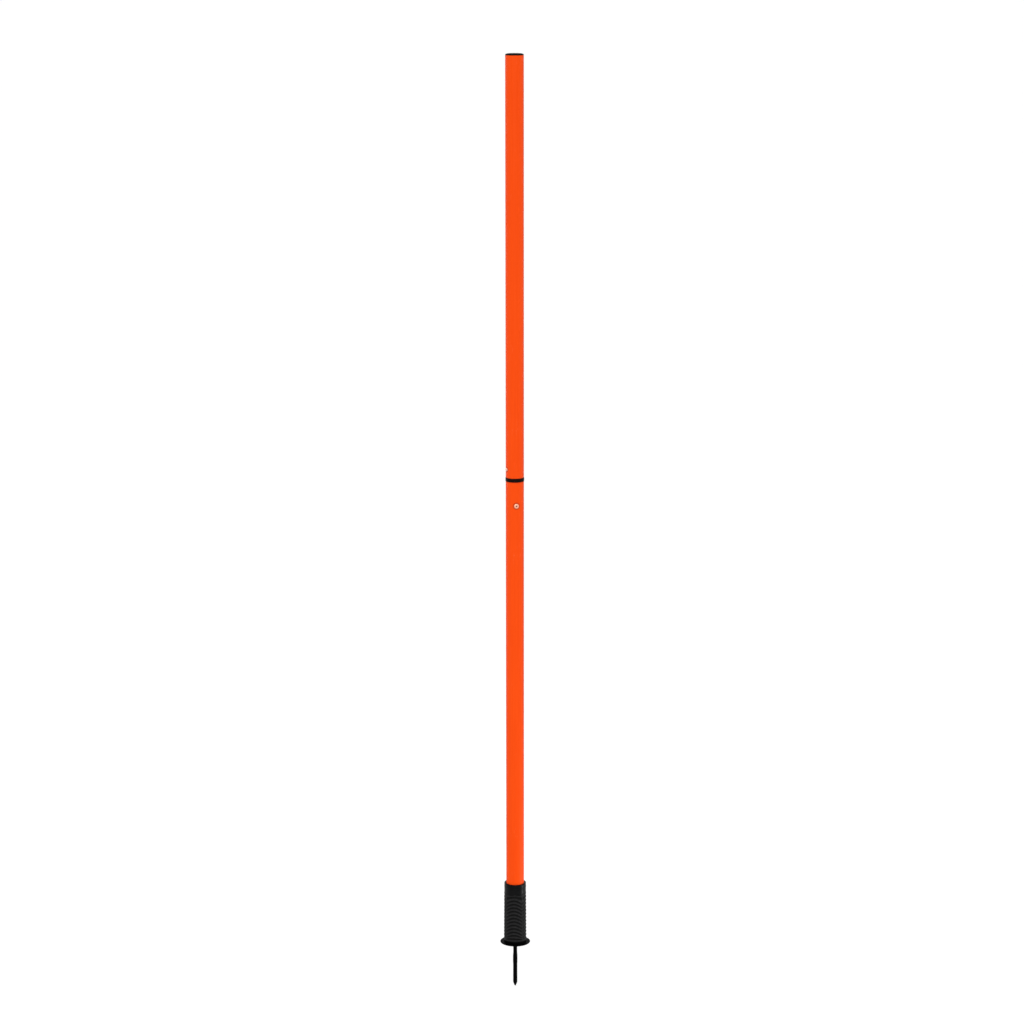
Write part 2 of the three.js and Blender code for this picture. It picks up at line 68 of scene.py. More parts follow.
# Steps round each turned piece
BROAD_STEPS = 128
SLEEVE_STEPS = 192
SMALL_STEPS = 64
DOME_STEPS = 12
ROUND_STEPS = 6
FEW_STEPS = 3
MERGE_DISTANCE = 0.002 * MM
SMOOTH_ANGLE = math.radians(32)

# Tubes
TUBE_WALL = 1.8 * MM
TUBE_EDGE = 0.25 * MM
HOLE_MARGIN = 2.5 * MM

# Plate, hub and its fasteners
HUB_EDGE = 0.4 * MM
HUB_FLANGE = 4 * MM
HUB_SHOULDER = 4 * MM
HUB_FLOOR = 5 * MM
STUB_RADIUS = 9.7 * MM
WASHER_EDGE = 0.2 * MM
NUT_SIDES = 6
NUT_ACROSS_FLATS = 13 * MM
NUT_CHAMFER = 0.7 * MM
THREAD_PITCH = 1.25 * MM
THREAD_DEPTH = 0.55 * MM
THREAD_STEPS = 10
THREAD_RUN_OUT = 2 * MM

# Spike, in depths below the ground
SPIKE_NECK_RADIUS = 3.6 * MM
SPIKE_NECK_DEPTH = 19.4 * MM
SPIKE_SWELL_START = 28.1 * MM
SPIKE_SWELL_END = 39 * MM
SPIKE_SHANK_RADIUS = 3.85 * MM
SPIKE_SHANK_START = 44 * MM
SPIKE_POINT = 8.7 * MM
SPIKE_TIP_RADIUS = 1.1 * MM
SPIKE_TIP_START = math.radians(-60)
SPIKE_TIP_END = math.radians(-30)
SPIKE_BULGE_SHARE = 0.75

# Flex spring
WIRE_RADIUS = 1.9 * MM
SPRING_PITCH = 4.6 * MM
SPRING_MEAN_RADIUS = 12.32 * MM
SPRING_LOWER_TURNS = 8
WIRE_SIDES = 16
SPRING_STEPS = 40

# Rubber sleeve
CUFF_RADIUS = 19.6 * MM
CUFF_HEIGHT = 20.2 * MM
CUFF_LIP = 1.2 * MM
CUFF_LEAD_IN = 1.2 * MM
CUFF_RING_DROP = 7.5 * MM
CUFF_RING_SIZE = 0.35 * MM
BEAD_HEIGHT = 2.2 * MM
BEAD_ROUND = 0.9 * MM
RIB_RADIUS = 20 * MM
RIB_FLARE = 0.45 * MM
RIB_COUNT = 13
RIB_SAMPLES = 12
RIB_POWER = 1.25
GROOVE_DEPTH = 0.9 * MM
SPLIT_RIB = 6
SPLIT_FLAT = 0.05 * MM
PANEL_COUNT = 4
PANEL_TURN = -7
ARCH_DROP = 8 * MM
FOOT_FADE_RIBS = 2
CUFF_FADE_RIBS = 1
LANE_HALF_WIDTH = 2.1 * MM
LANE_SINK = 0.12 * MM
BEAD_POLISH = 0.5
BORE_STEP = 3 * MM

# Tube plug and its cross pin
PLUG_BORE = 4 * MM
PLUG_SHOULDER = 7.8 * MM
PLUG_STUB = 10 * MM
PLUG_CHAMFER = 1 * MM
PLUG_EDGE = 0.2 * MM
PIN_RADIUS = 2 * MM
PIN_WALL = 0.7 * MM
PIN_SLOT = 0.8 * MM
PIN_EDGE = 0.3 * MM

# Joint between the tubes
COUPLER_WALL = 2 * MM
COUPLER_CHAMFER = 0.8 * MM
COLLAR_ROUND = 0.9 * MM
RIVET_AZIMUTH = 9.9
RIVET_HEAD = 1.5 * MM
RIVET_RIM = 0.4 * MM
RIVET_SHANK = 2.4 * MM
RIVET_BORE = 1.4 * MM
RIVET_MOUTH = 0.2 * MM
RIVET_BULB = 3.5 * MM
RIVET_BULB_LENGTH = 4 * MM
RIVET_TAIL = 1.2 * MM
MANDREL_STEM = 1.15 * MM
MANDREL_NECK = 0.9 * MM
MANDREL_SLIVER = 0.5 * MM
MANDREL_HEAD = 2 * MM
MANDREL_BREAK = 0.35 * MM
BUTTON_AZIMUTH = -63.5
BUTTON_RADIUS = 3.2 * MM
BUTTON_DOME = 1.1 * MM
BUTTON_FLANGE = 4.5 * MM
BUTTON_FLANGE_THICKNESS = 0.8 * MM
LEAF_THICKNESS = 0.6 * MM
LEAF_WIDTH = 8 * MM
LEAF_EDGE = 0.12 * MM

# Top cap
CAP_SKIRT_WALL = 1.5 * MM
CAP_SKIRT_CHAMFER = 0.8 * MM
CAP_CORNER_WIDTH = 5.2 * MM
CAP_CORNER_HEIGHT = 2.6 * MM
CAP_GATE_RADIUS = 2.2 * MM
CAP_GATE_DEPTH = 0.3 * MM
CAP_BARBS = 2
CAP_BARB_PROUD = 0.2 * MM
CAP_BARB_HEIGHT = 1.6 * MM
CAP_BARB_SHARE = 0.35

# Painted shade and wear: how far from its middle or edge a mark is full, and how far it reaches
RIVET_SHADE = (5 * MM, 7.6 * MM)
BUTTON_SHADE = (3.2 * MM, 6.2 * MM)
COLLAR_SHADE = 2.2 * MM
RIVET_EYE_SHADE = (1.2 * MM, 1.7 * MM)
RIVET_CROWN_UNSHADED = (3.4 * MM, 4.4 * MM)
RIVET_RIM_SHADE = (6 * MM, 7 * MM)
PLATE_WEAR = (0.1 * MM, 0.9 * MM)
TIP_WEAR = (1.5 * MM, 12 * MM)

# Corners of the nodes in the frame, and what follows from them
tube_low, tube_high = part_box("lower_tube")
upper_low, upper_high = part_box("upper_tube")
collar_low, collar_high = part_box("coupler_collar")
plate_low, plate_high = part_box("foot_plate")
hub_low, hub_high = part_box("base_hub")
washer_low, washer_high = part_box("lock_washer")
spring_low, spring_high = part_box("flex_spring")
sleeve_low, sleeve_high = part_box("grip_sleeve")
plug_low, plug_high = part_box("tube_plug")
cap_low, cap_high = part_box("top_cap")
spike_low, spike_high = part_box("ground_spike")

TUBE_RADIUS = tube_high.x
TUBE_BORE = TUBE_RADIUS - TUBE_WALL
INSERT_RADIUS = TUBE_BORE - CLEARANCE
COUPLER_BORE = INSERT_RADIUS - COUPLER_WALL
SLEEVE_TUBE_BORE = TUBE_RADIUS + CLEARANCE
THREAD_BORE = SPIKE_NECK_RADIUS + CLEARANCE
SPRING_SEAT = SPRING_MEAN_RADIUS + WIRE_RADIUS
SPRING_BORE = SPRING_SEAT + CLEARANCE
RIB_BOTTOM = sleeve_low.z + BEAD_HEIGHT
RIB_TOP = sleeve_high.z - CUFF_HEIGHT
RIB_PITCH = (RIB_TOP - RIB_BOTTOM) / RIB_COUNT
SPLIT_HEIGHT = RIB_BOTTOM + (SPLIT_RIB + 0.5) * RIB_PITCH
DRILL_REACH = 2 * TUBE_RADIUS


def outward(azimuth):
    """The turn that points local +X out of the pole at an azimuth."""
    return Matrix.Rotation(math.radians(azimuth) - QUARTER, 4, "Z")


def middle(node):
    """The height of a node's middle."""
    low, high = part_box(node)
    return (low.z + high.z) / 2


def reach(node, azimuth):
    """How far a node goes from the pole's axis along an azimuth: its least and its greatest."""
    out = outward(azimuth) @ Vector((1, 0, 0))
    distances = [out.dot(vertex.co) for vertex in frame["nodes"][node].data.vertices]
    return min(distances), max(distances)


def spot(azimuth, distance, height):
    """A place at an azimuth, a distance from the axis and a height."""
    return outward(azimuth) @ Vector((distance, 0, height))


PIN_HEIGHT = middle("plug_pin")
RIVET_HEIGHT = middle("coupler_rivet")
BUTTON_HEIGHT = middle("snap_button")
RIVET_CROWN = reach("coupler_rivet", RIVET_AZIMUTH)[1]


# Nodes, and the values between them
MIX_SHARE = 0
MIX_FIRST = 6
MIX_SECOND = 7
MIX_COLOUR = 2


class Value:
    """A number that changes over a surface, which Python's operators turn into Math nodes."""

    def __init__(self, nodes, socket):
        self.nodes = nodes
        self.socket = socket

    def worked(self, operation, first, second):
        return self.nodes.node("ShaderNodeMath", {"operation": operation}, {0: first, 1: second})

    def __add__(self, other):
        return self.worked("ADD", self, other)

    def __radd__(self, other):
        return self.worked("ADD", other, self)

    def __sub__(self, other):
        return self.worked("SUBTRACT", self, other)

    def __rsub__(self, other):
        return self.worked("SUBTRACT", other, self)

    def __mul__(self, other):
        return self.worked("MULTIPLY", self, other)

    def __rmul__(self, other):
        return self.worked("MULTIPLY", other, self)

    def __pow__(self, other):
        return self.worked("POWER", self, other)


class Nodes:
    """The nodes of a material or a world, which has one shader."""

    def __init__(self, owner, shader_name):
        owner.use_nodes = True
        self.owner = owner
        self.tree = owner.node_tree
        self.shader = self.tree.nodes[shader_name]

    def fill(self, node, sockets):
        """Fills the sockets of a node with values or links."""
        for socket, value in sockets.items():
            if isinstance(value, Value):
                self.tree.links.new(value.socket, node.inputs[socket])
            else:
                node.inputs[socket].default_value = value

    def node(self, kind, settings, sockets, output=0):
        """Adds a node, sets it up, fills its sockets and gives one of its outputs."""
        added = self.tree.nodes.new(kind)
        for setting, value in settings.items():
            setattr(added, setting, value)
        self.fill(added, sockets)
        return Value(self, added.outputs[output])


class Finish(Nodes):
    """A material whose values come from nodes. Constants are set on the shader's own sockets."""

    def __init__(self, name, constants):
        super().__init__(bpy.data.materials.new(name), "Principled BSDF")
        self.fill(self.shader, constants)
        self.place = self.node("ShaderNodeTexCoord", {}, {}, "Object")
        self.x, self.y, self.z = [
            self.node("ShaderNodeSeparateXYZ", {}, {0: self.place}, axis) for axis in "XYZ"
        ]

    def scaled(self, size, stretch=(1, 1, 1)):
        """The place on the piece in sizes of a pattern, longer along a stretch."""
        sizes = [size * axis for axis in stretch]
        return self.node("ShaderNodeVectorMath", {"operation": "DIVIDE"}, {0: self.place, 1: sizes})

    def noise(self, size, detail=2.0, stretch=(1, 1, 1)):
        """Soft noise from 0 to 1 whose patches are about one size across."""
        sockets = {"Vector": self.scaled(size, stretch), "Scale": 1.0, "Detail": detail}
        return self.node("ShaderNodeTexNoise", {}, sockets)

    def cells(self, size):
        """The distance from the middle of the nearest cell, for a pebbled grain."""
        return self.node("ShaderNodeTexVoronoi", {}, {"Vector": self.scaled(size), "Scale": 1.0})

    def ramp(self, value, low, high):
        """0 below one value and 1 above the other, with a smooth change between them."""
        sockets = {"Value": value, "From Min": low, "From Max": high}
        return self.node("ShaderNodeMapRange", {"interpolation_type": "SMOOTHSTEP"}, sockets)

    def tint(self, share, first, second):
        """A colour between two, each given as three numbers or as another tint."""
        colours = [c if isinstance(c, Value) else (*c, 1.0) for c in (first, second)]
        sockets = {MIX_SHARE: share, MIX_FIRST: colours[0], MIX_SECOND: colours[1]}
        return self.node("ShaderNodeMix", {"data_type": "RGBA"}, sockets, MIX_COLOUR)

    def marked(self, name):
        """A mark from 0 to 1 that a piece keeps on its vertices."""
        return self.node("ShaderNodeAttribute", {"attribute_name": name}, {}, "Fac")

    def from_axis(self):
        """The distance from the pole's axis."""
        return (self.x * self.x + self.y * self.y) ** 0.5

    def round_spot(self, place, near, far):
        """1 within the near distance of a place, down to 0 at the far one."""
        sockets = {0: self.place, 1: place}
        away = self.node("ShaderNodeVectorMath", {"operation": "DISTANCE"}, sockets, "Value")
        return 1 - self.ramp(away, near, far)

    def finished(self, colour, roughness, height, relief):
        """Joins the values to the shader. The height, from 0 to 1, stands as proud as the relief."""
        sockets = {"Height": height, "Distance": relief, "Strength": 1.0}
        bump = self.node("ShaderNodeBump", {}, sockets)
        self.fill(self.shader, {"Base Color": colour, "Roughness": roughness, "Normal": bump})
        return self.owner


def orange_plastic():
    """Extruded satin plastic with lengthwise streaks, rubbed marks, and painted contact shade round the
    rivet, the button and the collar.
    """
    constants = {"Specular IOR Level": 0.06, "IOR": 1.5, "Sheen Weight": 0.07, "Sheen Roughness": 0.4}
    deep, pale = (0.86, 0.056, 0.0016), (1.0, 0.092, 0.0048)
    # The darker second colour is painted contact shade next to the fittings.
    rubbed, contact_shade_colour = (1.0, 0.21, 0.08), (0.30, 0.020, 0.0015)
    finish = Finish("satin_orange", constants)
    streaks = finish.noise(1.1 * MM, 2.0, (1, 1, 160))
    clouds = finish.noise(45 * MM, 2.0, (1, 1, 3))
    skin = finish.noise(0.35 * MM, 1.0)
    rubbed_places = finish.ramp(finish.noise(60 * MM, 1.0), 0.54, 0.68)
    scratches = finish.ramp(finish.noise(0.9 * MM, 3.0, (1, 1, 14)), 0.63, 0.72)
    rubs = scratches * rubbed_places
    # Painted shade: the tube darkens round the rivet's seat, the button's hole and both sides of the
    # collar, broken up by noise.
    rivet_seat = spot(RIVET_AZIMUTH, TUBE_RADIUS, RIVET_HEIGHT)
    button_hole = spot(BUTTON_AZIMUTH, TUBE_RADIUS, BUTTON_HEIGHT)
    rivet_shade = finish.round_spot(rivet_seat, *RIVET_SHADE)
    button_shade = finish.round_spot(button_hole, *BUTTON_SHADE)
    over_collar = 1 - finish.ramp(finish.z, collar_high.z, collar_high.z + COLLAR_SHADE)
    under_collar = finish.ramp(finish.z, collar_low.z - COLLAR_SHADE, collar_low.z)
    unshaded = (1 - rivet_shade * 0.5) * (1 - button_shade * 0.5) * (1 - over_collar * under_collar * 0.4)
    contact_shade = (1 - unshaded) * (0.6 + finish.noise(1.5 * MM, 2.0) * 0.8)
    colour = finish.tint(streaks * 0.6 + clouds * 0.4, deep, pale)
    colour = finish.tint(rubs * 0.45, colour, rubbed)
    colour = finish.tint(contact_shade, colour, contact_shade_colour)
    roughness = 0.34 + clouds * 0.10 + streaks * 0.08 + rubs * 0.20 + contact_shade * 0.2
    height = streaks * 0.75 + skin * 0.25 - rubs * 0.3
    return finish.finished(colour, roughness, height, 0.022 * MM)


def black_plastic():
    """Moulded plastic with a fine spark-eroded grain and a few paler flecks."""
    dark, light, fleck = (0.0050, 0.0022, 0.0016), (0.0090, 0.0048, 0.0036), (0.026, 0.019, 0.017)
    finish = Finish("moulded_black", {"Specular IOR Level": 0.03, "IOR": 1.5})
    grain = finish.noise(0.28 * MM, 3.0)
    clouds = finish.noise(9 * MM, 2.0)
    flecks = finish.ramp(finish.noise(0.7 * MM, 2.0), 0.64, 0.74)
    colour = finish.tint(clouds, dark, light)
    colour = finish.tint(flecks * 0.25, colour, fleck)
    roughness = 0.42 + grain * 0.10 + clouds * 0.06
    return finish.finished(colour, roughness, grain, 0.02 * MM)


def black_rubber():
    """Moulded rubber: pebbled ribs with dust patches, painted shade deep in the grooves, and a smoother
    cuff, bead and lanes.
    """
    # The groove colour is painted shade: the ribs darken from their own tone to near black at the bottom of
    # each groove.
    groove, rib = (0.0001, 0.0001, 0.0001), (0.0135, 0.0135, 0.0139)
    dusty, smooth = (0.036, 0.035, 0.034), (0.0009, 0.0009, 0.0010)
    finish = Finish("ribbed_rubber", {"Specular IOR Level": 0.07, "IOR": 1.5})
    pebbles = finish.cells(0.55 * MM)
    crest = finish.marked("crest") ** 1.7 * (0.7 + pebbles * 0.6)
    polish = finish.marked("polish")
    grain = finish.noise(0.22 * MM, 2.0)
    clouds = finish.noise(12 * MM, 3.0)
    dust = finish.ramp(finish.noise(4 * MM, 3.0), 0.42, 0.78) * crest
    colour = finish.tint(crest, groove, rib)
    colour = finish.tint(dust * 0.40, colour, dusty)
    colour = finish.tint(polish * (0.75 + clouds * 0.35), colour, smooth)
    roughness = 0.52 + clouds * 0.10 + dust * 0.08 - polish * 0.26
    height = (pebbles * 0.55 + grain * 0.45) * (1 - polish * 0.85)
    return finish.finished(colour, roughness, height, 0.06 * MM)


def black_paint():
    """Powder coat on steel: orange peel, and chips that show the primer along the outer edges."""
    dark, light, primer = (0.0008, 0.0008, 0.0009), (0.0020, 0.0020, 0.0022), (0.055, 0.055, 0.057)
    finish = Finish("powder_black", {"Specular IOR Level": 0.012, "IOR": 1.5})
    peel = finish.noise(1.6 * MM, 2.0)
    grit = finish.noise(0.3 * MM, 2.0)
    clouds = finish.noise(14 * MM, 2.0)
    rim = 1 - finish.ramp(plate_high.x - finish.from_axis(), *PLATE_WEAR)
    tip = 1 - finish.ramp(finish.z - spike_low.z, *TIP_WEAR)
    chips = finish.ramp(finish.noise(1.1 * MM, 3.0), 0.60, 0.68)
    scuffs = finish.ramp(finish.noise(1.2 * MM, 3.0, (1, 1, 6)), 0.60, 0.70)
    worn = rim * chips * 0.8 + tip * scuffs
    colour = finish.tint(clouds, dark, light)
    colour = finish.tint(worn * 0.5, colour, primer)
    roughness = 0.30 + clouds * 0.10 + grit * 0.06 + worn * 0.15
    height = peel * 0.7 + grit * 0.3
    return finish.finished(colour, roughness, height, 0.03 * MM)


def grey_nylon():
    """Moulded nylon with a dry, faintly mottled skin."""
    dark, light = (0.038, 0.038, 0.04), (0.055, 0.055, 0.057)
    finish = Finish("grey_nylon", {"Specular IOR Level": 0.3, "IOR": 1.53})
    mottle = finish.noise(3 * MM, 3.0)
    grain = finish.noise(0.4 * MM, 2.0)
    colour = finish.tint(mottle, dark, light)
    roughness = 0.5 + grain * 0.12
    return finish.finished(colour, roughness, grain, 0.02 * MM)


def metal(name, dark, light, smooth):
    """A metal with fine scratches and cloudy stains, and painted shade in the rivet's eye and round the rim
    of its head.
    """
    painted_rim_shade, painted_eye_shade = (0.46, 0.11, 0.04), (0.06, 0.035, 0.025)
    finish = Finish(name, {"Metallic": 1.0})
    clouds = finish.noise(4 * MM, 3.0)
    scratches = finish.noise(0.3 * MM, 3.0, (1, 1, 9))
    # Painted shade: the rivet's eye and the outer ring of its head are darkened, the ring towards a dark
    # orange-brown.
    crown = spot(RIVET_AZIMUTH, RIVET_CROWN, RIVET_HEIGHT)
    eye_shade = finish.round_spot(crown, *RIVET_EYE_SHADE)
    rim = finish.round_spot(crown, *RIVET_RIM_SHADE) - finish.round_spot(crown, *RIVET_CROWN_UNSHADED)
    colour = finish.tint(clouds * 0.6 + scratches * 0.4, dark, light)
    colour = finish.tint(rim * 0.9, colour, painted_rim_shade)
    colour = finish.tint(eye_shade * 0.8, colour, painted_eye_shade)
    roughness = smooth + clouds * 0.12 + scratches * 0.08 + eye_shade * 0.2
    return finish.finished(colour, roughness, scratches, 0.006 * MM)


# The warm tints of rivet_aluminium and button_nickel are painted reflection of the orange tube round them.
METALS = {
    "zinc_steel": {"dark": (0.42, 0.44, 0.45), "light": (0.60, 0.61, 0.63), "smooth": 0.26},
    "spring_steel": {"dark": (0.20, 0.21, 0.22), "light": (0.34, 0.35, 0.36), "smooth": 0.30},
    "rivet_aluminium": {"dark": (0.74, 0.34, 0.22), "light": (0.90, 0.45, 0.31), "smooth": 0.38},
    "button_nickel": {"dark": (0.68, 0.33, 0.24), "light": (0.82, 0.44, 0.33), "smooth": 0.32},
}
MATERIALS = {
    "orange_plastic": orange_plastic(),
    "black_plastic": black_plastic(),
    "black_rubber": black_rubber(),
    "black_paint": black_paint(),
    "grey_nylon": grey_nylon(),
}
for metal_name, metal_look in METALS.items():
    MATERIALS[metal_name] = metal(metal_name, **metal_look)


# Modelling
def choose(obj):
    """Makes one object the only one selected, and the active one."""
    bpy.ops.object.select_all(action="DESELECT")
    obj.select_set(True)
    bpy.context.view_layer.objects.active = obj


def chain(name, points):
    """A line of edges through a list of places, drawn out one vertex at a time, left in edit mode."""
    bpy.ops.object.select_all(action="DESELECT")
    bpy.ops.mesh.primitive_plane_add(size=MM, location=(0, 0, 0))
    obj = bpy.context.object
    obj.name = name
    bpy.ops.object.mode_set(mode="EDIT")
    bpy.ops.mesh.select_all(action="SELECT")
    bpy.ops.mesh.merge(type="CENTER")
    bpy.ops.transform.translate(value=Vector(points[0]))
    for before, after in zip(points, points[1:]):
        step = Vector(after) - Vector(before)
        bpy.ops.mesh.extrude_vertices_move(TRANSFORM_OT_translate={"value": step})
    return obj


def closed_up():
    """In edit mode, joins what meets, closes what is open and turns every face outwards."""
    bpy.ops.mesh.select_all(action="SELECT")
    bpy.ops.mesh.remove_doubles(threshold=MERGE_DISTANCE)
    bpy.ops.mesh.fill_holes(sides=0)
    bpy.ops.mesh.select_all(action="SELECT")
    bpy.ops.mesh.normals_make_consistent(inside=False)
    bpy.ops.object.mode_set(mode="OBJECT")


def turned(name, profile, steps, angle=TURN):
    """A profile of (radius, height) points spun round Z. A ring's profile ends where it begins."""
    obj = chain(name, [(radius, 0, height) for radius, height in profile])
    bpy.ops.mesh.select_all(action="SELECT")
    bpy.ops.mesh.spin(steps=steps, angle=angle, center=(0, 0, 0), axis=(0, 0, 1))
    closed_up()
    return obj


def oval(radius, height, wide, tall, start, end, steps):
    """The points of an oval round in a profile, about its centre."""
    angles = [start + (end - start) * step / steps for step in range(steps + 1)]
    return [(radius + wide * math.cos(a), height + tall * math.sin(a)) for a in angles]


def arc(radius, height, size, start, end, steps=ROUND_STEPS):
    """The points of a true round in a profile, about its centre."""
    return oval(radius, height, size, size, start, end, steps)


def eased(start, end, steps=ROUND_STEPS):
    """A smooth change in a profile from one (radius, height) point to another, flat at both ends."""
    points = []
    for step in range(1, steps + 1):
        share = step / steps
        ease = (1 - math.cos(math.pi * share)) / 2
        points.append((start[0] + (end[0] - start[0]) * ease, start[1] + (end[1] - start[1]) * share))
    return points


def modified(obj, kind, settings):
    """Adds a modifier, sets it up and applies it."""
    choose(obj)
    modifier = obj.modifiers.new(kind.lower(), kind)
    for setting, value in settings.items():
        setattr(modifier, setting, value)
    bpy.ops.object.modifier_apply(modifier=modifier.name)
    return obj


def edged(obj, width, segments=3):
    """Rounds every sharp edge."""
    settings = {"width": width, "segments": segments, "limit_method": "ANGLE", "angle_limit": SMOOTH_ANGLE}
    return modified(obj, "BEVEL", settings)


def cut(obj, cutter, operation="DIFFERENCE"):
    """Cuts one solid with another, which is then thrown away."""
    modified(obj, "BOOLEAN", {"object": cutter, "operation": operation, "solver": "EXACT"})
    bpy.data.objects.remove(cutter)
    return obj


def placed(obj, matrix):
    """Puts a piece in its place, and the place in its mesh."""
    choose(obj)
    obj.matrix_world = matrix
    bpy.ops.object.transform_apply(location=True, rotation=True, scale=True)
    return obj


def pointed_out(obj, height, azimuth):
    """Lays a piece that was turned about +Z along a line out of the pole."""
    upright = Matrix.Rotation(QUARTER, 4, "Y")
    return placed(obj, Matrix.Translation((0, 0, height)) @ outward(azimuth) @ upright)


def drilled(obj, radius, start, end, height, azimuth):
    """Drills a round hole between two distances from the axis."""
    bpy.ops.object.select_all(action="DESELECT")
    bpy.ops.mesh.primitive_cylinder_add(vertices=SMALL_STEPS, radius=radius, depth=end - start)
    drill = bpy.context.object
    along = Matrix.Translation(((start + end) / 2, 0, 0)) @ Matrix.Rotation(QUARTER, 4, "Y")
    placed(drill, Matrix.Translation((0, 0, height)) @ outward(azimuth) @ along)
    return cut(obj, drill)


def made(obj, slot, body, *nodes):
    """Gives a finished piece its material and smooth faces, and says what it moves with."""
    obj.data.materials.clear()
    obj.data.materials.append(MATERIALS[slot])
    choose(obj)
    bpy.ops.object.shade_smooth_by_angle(angle=SMOOTH_ANGLE)
    if body:
        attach(obj, body)
    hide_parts(*nodes)
    return obj


# Foot
def spike():
    """The ground spike: a threaded top, a thin neck, a swell and a rounded point."""
    bottom = spike_low.z
    swell = spike_high.x
    shank_end = (SPIKE_SHANK_RADIUS, bottom + SPIKE_POINT)
    profile = [(0, bottom)]
    tip_angles = (SPIKE_TIP_START, SPIKE_TIP_END)
    profile += arc(0, bottom + SPIKE_TIP_RADIUS, SPIKE_TIP_RADIUS, *tip_angles, FEW_STEPS)
    tip = profile[-1]
    for step in range(1, ROUND_STEPS + 1):
        share = step / ROUND_STEPS
        bulge = math.sin(share * QUARTER) * SPIKE_BULGE_SHARE + share * (1 - SPIKE_BULGE_SHARE)
        profile.append((
            tip[0] + (shank_end[0] - tip[0]) * bulge,
            tip[1] + (shank_end[1] - tip[1]) * share,
        ))
    profile.append((SPIKE_SHANK_RADIUS, -SPIKE_SHANK_START))
    profile += eased((SPIKE_SHANK_RADIUS, -SPIKE_SHANK_START), (swell, -SPIKE_SWELL_END))
    profile.append((swell, -SPIKE_SWELL_START))
    profile += eased((swell, -SPIKE_SWELL_START), (SPIKE_NECK_RADIUS, -SPIKE_NECK_DEPTH))
    thread_start = hub_low.z
    rows = round((spike_high.z - thread_start) / THREAD_PITCH * THREAD_STEPS)
    rise = (spike_high.z - thread_start) / rows
    profile += [(SPIKE_NECK_RADIUS, thread_start + row * rise) for row in range(rows + 1)]
    profile.append((0, spike_high.z))
    piece = turned("spike", profile, SMALL_STEPS)
    for vertex in piece.data.vertices:
        wind_thread(vertex, thread_start)
    return made(piece, "black_paint", "base", "ground_spike")


def wind_thread(vertex, start):
    """Sinks a vertex of the spike's neck into the groove of its thread, which fades out at both ends."""
    height = vertex.co.z
    radius = math.hypot(vertex.co.x, vertex.co.y)
    if height < start or radius < SPIKE_NECK_RADIUS / 2:
        return
    turns = height / THREAD_PITCH - math.atan2(vertex.co.y, vertex.co.x) / TURN
    groove = 1 - abs(2 * (turns % 1) - 1)
    fade = min(1, (height - start) / THREAD_RUN_OUT, (spike_high.z - height) / THREAD_PITCH)
    share = 1 - THREAD_DEPTH * groove * fade / radius
    vertex.co.x *= share
    vertex.co.y *= share


def plate():
    """The foot plate, with a full round rim."""
    half = (plate_high.z - plate_low.z) / 2
    rim = plate_high.x - half
    profile = [(THREAD_BORE, plate_low.z)]
    profile += arc(rim, plate_low.z + half, half, -QUARTER, QUARTER, DOME_STEPS)
    profile += [(THREAD_BORE, plate_high.z), (THREAD_BORE, plate_low.z)]
    return made(turned("plate", profile, BROAD_STEPS), "black_paint", "base", "foot_plate")


def hub():
    """The hub: a broad flange, a shoulder under the spring and a stub inside its lowest coils."""
    flange_top = hub_low.z + HUB_FLANGE
    shoulder_top = flange_top + HUB_SHOULDER
    pocket = washer_high.x + CLEARANCE
    pocket_floor = hub_low.z + HUB_FLOOR
    profile = [
        (THREAD_BORE, hub_low.z),
        (hub_high.x, hub_low.z),
        (hub_high.x, flange_top),
        (SPRING_SEAT, flange_top),
        (SPRING_SEAT, shoulder_top),
        (STUB_RADIUS, shoulder_top),
        (STUB_RADIUS, hub_high.z),
        (pocket, hub_high.z),
        (pocket, pocket_floor),
        (THREAD_BORE, pocket_floor),
        (THREAD_BORE, hub_low.z),
    ]
    piece = edged(turned("hub", profile, BROAD_STEPS), HUB_EDGE)
    return made(piece, "black_paint", "base", "base_hub")


def washer():
    """The flat washer under the locknut."""
    profile = [
        (THREAD_BORE, washer_low.z),
        (washer_high.x, washer_low.z),
        (washer_high.x, washer_high.z),
        (THREAD_BORE, washer_high.z),
        (THREAD_BORE, washer_low.z),
    ]
    piece = edged(turned("hub_washer", profile, SMALL_STEPS), WASHER_EDGE)
    return made(piece, "zinc_steel", "base", "lock_washer")


def nut():
    """The hexagon locknut, its corners turned down at both ends."""
    low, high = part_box("lock_nut")
    corner = NUT_ACROSS_FLATS / 2 / math.cos(math.pi / NUT_SIDES)
    bpy.ops.object.select_all(action="DESELECT")
    bpy.ops.mesh.primitive_cylinder_add(vertices=NUT_SIDES, radius=corner, depth=high.z - low.z)
    piece = bpy.context.object
    piece.name = "hub_nut"
    placed(piece, Matrix.Translation((0, 0, (low.z + high.z) / 2)) @ Matrix.Rotation(-QUARTER, 4, "Z"))
    face = corner - NUT_CHAMFER
    clear = corner + NUT_CHAMFER
    slope = NUT_CHAMFER / 2
    envelope = [
        (0, low.z - slope),
        (face, low.z),
        (clear, low.z + 2 * slope),
        (clear, high.z - 2 * slope),
        (face, high.z),
        (0, high.z + slope),
    ]
    cut(piece, turned("envelope", envelope, SMALL_STEPS), "INTERSECT")
    bore = [(0, low.z - MM), (THREAD_BORE, low.z - MM), (THREAD_BORE, high.z + MM), (0, high.z + MM)]
    cut(piece, turned("bore", bore, SMALL_STEPS))
    return made(piece, "zinc_steel", "base", "lock_nut")


